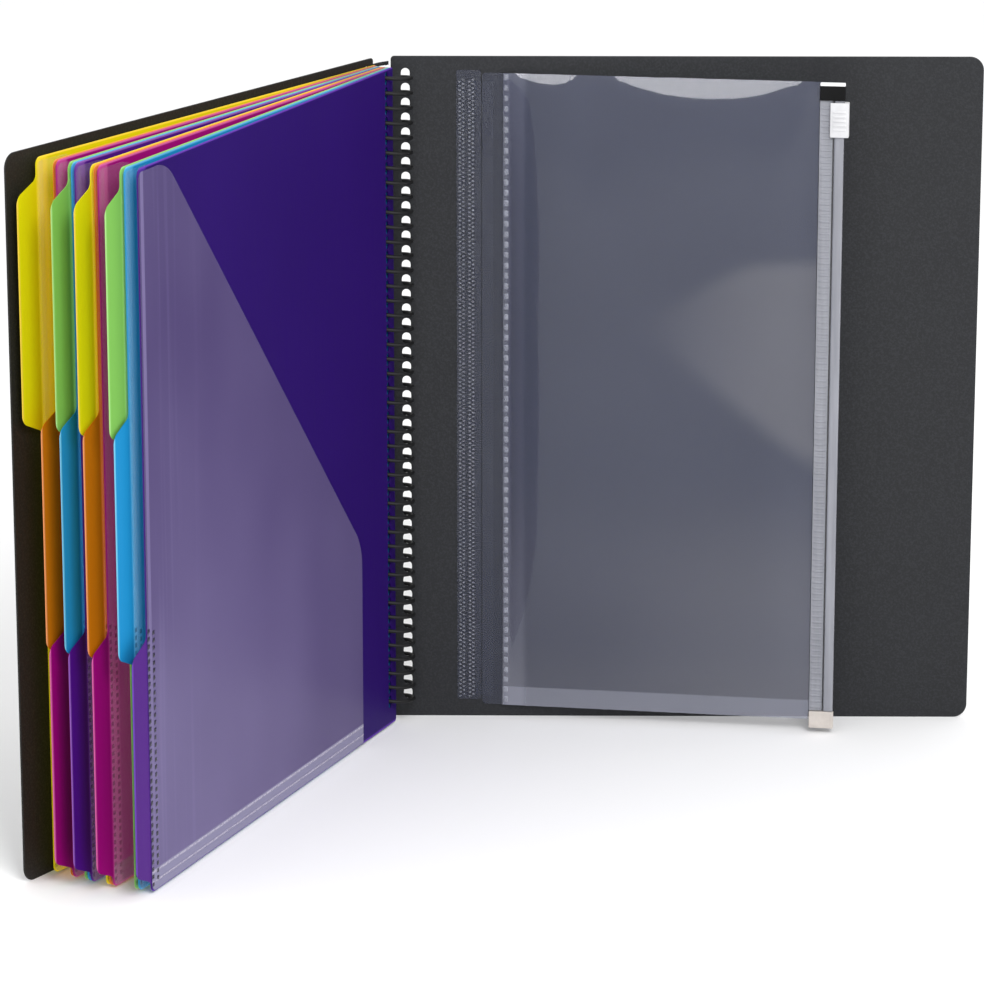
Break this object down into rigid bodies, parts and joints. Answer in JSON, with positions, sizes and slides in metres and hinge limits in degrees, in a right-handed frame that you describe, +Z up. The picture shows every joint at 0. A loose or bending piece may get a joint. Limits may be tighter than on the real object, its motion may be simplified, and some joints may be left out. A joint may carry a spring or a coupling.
{
  "type": "project organizer folder",
  "caption": "Coil-bound project organizer with textured covers, coloured tabbed dividers with clear slash pockets, and a clear zip pouch on the back cover.",
  "frame": {"origin": "middle of the footprint of the part as it stands open, on the surface that the covers' lower edges rest on", "axes": "+X along the back cover from its spine to its free edge, +Y from the free edges of the dividers to the back cover, +Z up along the coil"},
  "size_m": [0.398, 0.2488, 0.298],
  "materials": {
    "back_cover_poly": "fine matte grain",
    "front_cover_poly": "fine matte grain",
    "coil_plastic": "satin black",
    "pouch_film": "clear hazy film",
    "pocket_film": "clear hazy film",
    "zip_track": "translucent",
    "zip_top_stop": "glossy black",
    "zip_foot_stop": "off-white",
    "zip_slider": "white",
    "divider_yellow": "translucent tinted poly",
    "divider_orange": "translucent tinted poly",
    "divider_magenta": "translucent tinted poly",
    "divider_green": "translucent tinted poly",
    "divider_blue": "translucent tinted poly",
    "divider_purple": "translucent tinted poly",
    "divider_violet": "translucent tinted poly"
  },
  "bodies": {
    "back_cover": {"back_cover": "back_cover_poly", "pouch_weld_strip": "pouch_film"},
    "binding_coil": {"binding_coil": "coil_plastic"},
    "divider_12": {"divider_12": "divider_violet", "slash_pocket_12": "pocket_film"},
    "divider_11": {"divider_11": "divider_blue", "slash_pocket_11": "pocket_film"},
    "divider_10": {"divider_10": "divider_green", "slash_pocket_10": "pocket_film"},
    "divider_09": {"divider_09": "divider_magenta", "slash_pocket_09": "pocket_film"},
    "divider_08": {"divider_08": "divider_orange", "slash_pocket_08": "pocket_film"},
    "divider_07": {"divider_07": "divider_yellow", "slash_pocket_07": "pocket_film"},
    "divider_06": {"divider_06": "divider_purple", "slash_pocket_06": "pocket_film"},
    "divider_05": {"divider_05": "divider_blue", "slash_pocket_05": "pocket_film"},
    "divider_04": {"divider_04": "divider_green", "slash_pocket_04": "pocket_film"},
    "divider_03": {"divider_03": "divider_magenta", "slash_pocket_03": "pocket_film"},
    "divider_02": {"divider_02": "divider_orange", "slash_pocket_02": "pocket_film"},
    "divider_01": {"divider_01": "divider_yellow", "slash_pocket_01": "pocket_film"},
    "front_cover": {"front_cover": "front_cover_poly"},
    "pouch": {"pouch_back_film": "pouch_film", "pouch_front_film": "pouch_film", "zip_track_rear": "zip_track", "zip_track_front": "zip_track", "zip_top_stop": "zip_top_stop", "zip_foot_stop": "zip_foot_stop"},
    "zip_slider": {"zip_slider": "zip_slider"}
  },
  "joints": [
    {"name": "divider_12_turn", "type": "hinge", "parent": "back_cover", "child": "divider_12", "pos_m": [-0.05706, 0.11407, 0], "axis": [0, 0, -1], "range_deg": [-104.2, 13]},
    {"name": "divider_11_turn", "type": "hinge", "parent": "divider_12", "child": "divider_11", "pos_m": [-0.05706, 0.11407, 0], "axis": [0, 0, -1], "range_deg": [-1.1, 3]},
    {"name": "divider_10_turn", "type": "hinge", "parent": "divider_11", "child": "divider_10", "pos_m": [-0.05706, 0.11407, 0], "axis": [0, 0, -1], "range_deg": [-0.2, 3]},
    {"name": "divider_09_turn", "type": "hinge", "parent": "divider_10", "child": "divider_09", "pos_m": [-0.05706, 0.11407, 0], "axis": [0, 0, -1], "range_deg": [-2.1, 3]},
    {"name": "divider_08_turn", "type": "hinge", "parent": "divider_09", "child": "divider_08", "pos_m": [-0.05706, 0.11407, 0], "axis": [0, 0, -1], "range_deg": [-0.2, 3]},
    {"name": "divider_07_turn", "type": "hinge", "parent": "divider_08", "child": "divider_07", "pos_m": [-0.05706, 0.11407, 0], "axis": [0, 0, -1], "range_deg": [-0.2, 3]},
    {"name": "divider_06_turn", "type": "hinge", "parent": "divider_07", "child": "divider_06", "pos_m": [-0.05706, 0.11407, 0], "axis": [0, 0, -1], "range_deg": [-1.5, 3]},
    {"name": "divider_05_turn", "type": "hinge", "parent": "divider_06", "child": "divider_05", "pos_m": [-0.05706, 0.11407, 0], "axis": [0, 0, -1], "range_deg": [-0.2, 3]},
    {"name": "divider_04_turn", "type": "hinge", "parent": "divider_05", "child": "divider_04", "pos_m": [-0.05706, 0.11407, 0], "axis": [0, 0, -1], "range_deg": [-0.2, 3]},
    {"name": "divider_03_turn", "type": "hinge", "parent": "divider_04", "child": "divider_03", "pos_m": [-0.05706, 0.11407, 0], "axis": [0, 0, -1], "range_deg": [-1.2, 3]},
    {"name": "divider_02_turn", "type": "hinge", "parent": "divider_03", "child": "divider_02", "pos_m": [-0.05706, 0.11407, 0], "axis": [0, 0, -1], "range_deg": [-0.2, 3]},
    {"name": "divider_01_turn", "type": "hinge", "parent": "divider_02", "child": "divider_01", "pos_m": [-0.05706, 0.11407, 0], "axis": [0, 0, -1], "range_deg": [-1.9, 3]},
    {"name": "front_cover_turn", "type": "hinge", "parent": "divider_01", "child": "front_cover", "pos_m": [-0.05706, 0.11407, 0], "axis": [0, 0, -1], "range_deg": [-0.8, 10]},
    {"name": "coil_spin", "type": "hinge", "parent": "back_cover", "child": "binding_coil", "pos_m": [-0.05706, 0.11407, 0], "axis": [0, 0, -1], "range_deg": [-4, 4]},
    {"name": "pouch_swing", "type": "hinge", "parent": "back_cover", "child": "pouch", "pos_m": [-0.01716, 0.12012, 0], "axis": [0, 0, -1], "range_deg": [-7.4, 90]},
    {"name": "zip_slide", "type": "slide", "parent": "pouch", "child": "zip_slider", "axis": [0, 0, 1], "range_m": [-0.256, 0.0004]}
  ]
}
